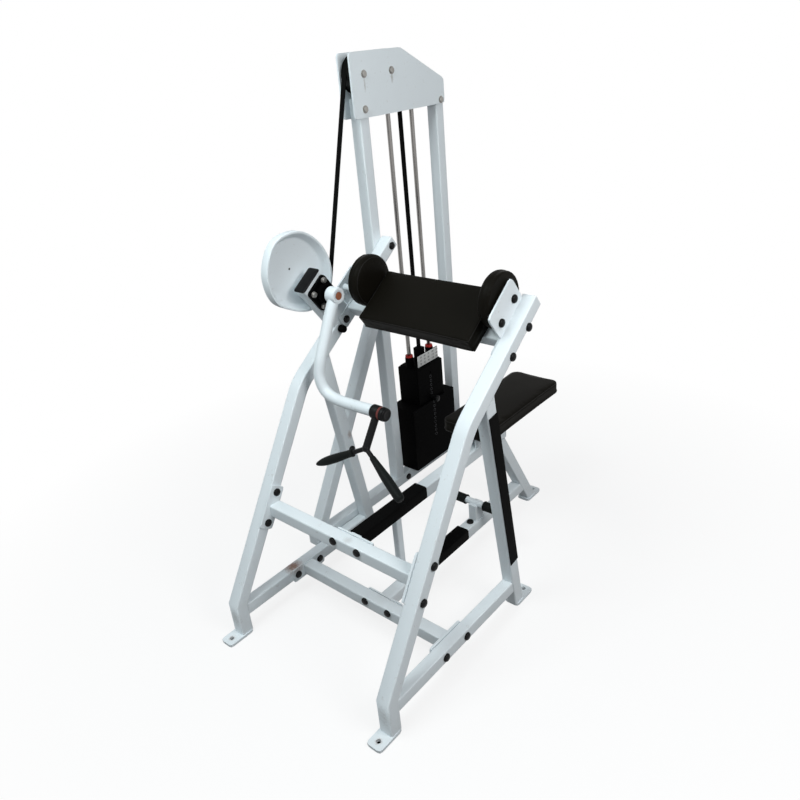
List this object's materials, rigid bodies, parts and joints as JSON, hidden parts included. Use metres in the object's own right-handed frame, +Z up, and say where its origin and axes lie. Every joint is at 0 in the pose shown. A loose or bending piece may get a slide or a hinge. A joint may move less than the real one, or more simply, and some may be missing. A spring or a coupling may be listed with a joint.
{
  "type": "biceps machine",
  "caption": "Seated arm curl machine with a sloped arm pad, round side pads, a swivel handle on a cam lever, and a belt-driven weight stack in a side tower.",
  "frame": {"origin": "on the floor under the middle of the machine's bounding box", "axes": "+Z up, +Y from the handle end to the seat end, +X away from the weight stack"},
  "size_m": [0.8116, 1.416, 1.75],
  "materials": {
    "white_paint": "satin, slightly cool white, scuffed",
    "black_rubber": "matte",
    "dark_vinyl": "satin, fine grain",
    "black_belt": "matte",
    "guide_rod_chrome": "polished",
    "black_casting": "painted black, satin",
    "black_enamel": "gloss black"
  },
  "bodies": {
    "frame": {"left_front_leg": "white_paint", "left_rear_leg": "white_paint", "left_base_rail": "white_paint", "right_front_leg": "white_paint", "right_rear_leg": "white_paint", "right_base_rail": "white_paint", "rear_leg_guard": "black_rubber", "upper_crossbar": "white_paint", "lower_crossbar": "white_paint", "upper_beam": "white_paint", "rear_strut": "white_paint", "lower_beam": "white_paint", "upper_beam_sleeve": "black_rubber", "lower_beam_sleeve": "black_rubber", "foot_peg_bar": "white_paint", "foot_peg_grip_left": "black_rubber", "foot_peg_grip_right": "black_rubber", "seat_cushion": "dark_vinyl", "arm_pad_bar": "white_paint", "arm_pad_cushion": "dark_vinyl", "left_side_pad": "dark_vinyl", "right_side_pad": "dark_vinyl", "cam_support_tube": "white_paint", "bearing_housing": "black_casting", "lever_bumper": "black_rubber", "tower_base_rail": "white_paint", "tower_front_upright": "white_paint", "tower_rear_upright": "white_paint", "tower_brace": "white_paint", "head_plate_inner": "white_paint", "head_plate_outer": "white_paint", "guide_rod_front": "guide_rod_chrome", "guide_rod_rear": "guide_rod_chrome", "drive_belt": "black_belt", "stack_pedestal": "black_casting", "lower_plate_1": "black_casting", "lower_plate_2": "black_casting", "lower_plate_3": "black_casting", "lower_plate_4": "black_casting", "lower_plate_5": "black_casting", "lower_plate_6": "black_casting", "lower_plate_7": "black_casting", "lower_plate_8": "black_casting", "lower_plate_9": "black_casting"},
    "stack": {"stack_head": "black_casting", "upper_plate_1": "black_casting", "upper_plate_2": "black_casting", "upper_plate_3": "black_casting", "upper_plate_4": "black_casting", "upper_plate_5": "black_casting", "upper_plate_6": "black_casting", "lift_belt": "black_belt"},
    "selector": {"selector_pin": "black_enamel"},
    "cam_lever": {"cam": "white_paint", "lever_arm": "white_paint"},
    "front_pulley": {"front_pulley": "black_enamel"},
    "rear_pulley": {"rear_pulley": "black_enamel"},
    "handle": {"swivel_handle": "black_enamel", "handle_grip_left": "black_rubber", "handle_grip_right": "black_rubber"}
  },
  "joints": [
    {"name": "stack_lift", "type": "slide", "parent": "frame", "child": "stack", "axis": [0, 0, 1], "range_m": [0, 0.33], "deforming": ["lift_belt"]},
    {"name": "curl", "type": "hinge", "parent": "frame", "child": "cam_lever", "pos_m": [-0.219, -0.085, 1.057], "axis": [-1, 0, 0], "range_deg": [0, 125.01], "deforming": ["drive_belt"]},
    {"name": "front_pulley_spin", "type": "hinge", "parent": "frame", "child": "front_pulley", "pos_m": [-0.3453, 0.265, 1.683], "axis": [1, 0, 0], "range_deg": [0, 322]},
    {"name": "rear_pulley_spin", "type": "hinge", "parent": "frame", "child": "rear_pulley", "pos_m": [-0.3453, 0.40195, 1.683], "axis": [1, 0, 0], "range_deg": [0, 322]},
    {"name": "handle_swivel", "type": "hinge", "parent": "cam_lever", "child": "handle", "pos_m": [0.0325, -0.198, 0.749], "axis": [1, 0, 0], "range_deg": [-90, 90]},
    {"name": "pin_pull", "type": "slide", "parent": "stack", "child": "selector", "axis": [1, 0, 0], "range_m": [0, 0.06]}
  ],
  "couplings": [
    {"joint": "curl", "follows": "stack_lift", "rad_per_m": 6.6111},
    {"joint": "front_pulley_spin", "follows": "stack_lift", "rad_per_m": 17.007},
    {"joint": "rear_pulley_spin", "follows": "stack_lift", "rad_per_m": 17.007}
  ]
}
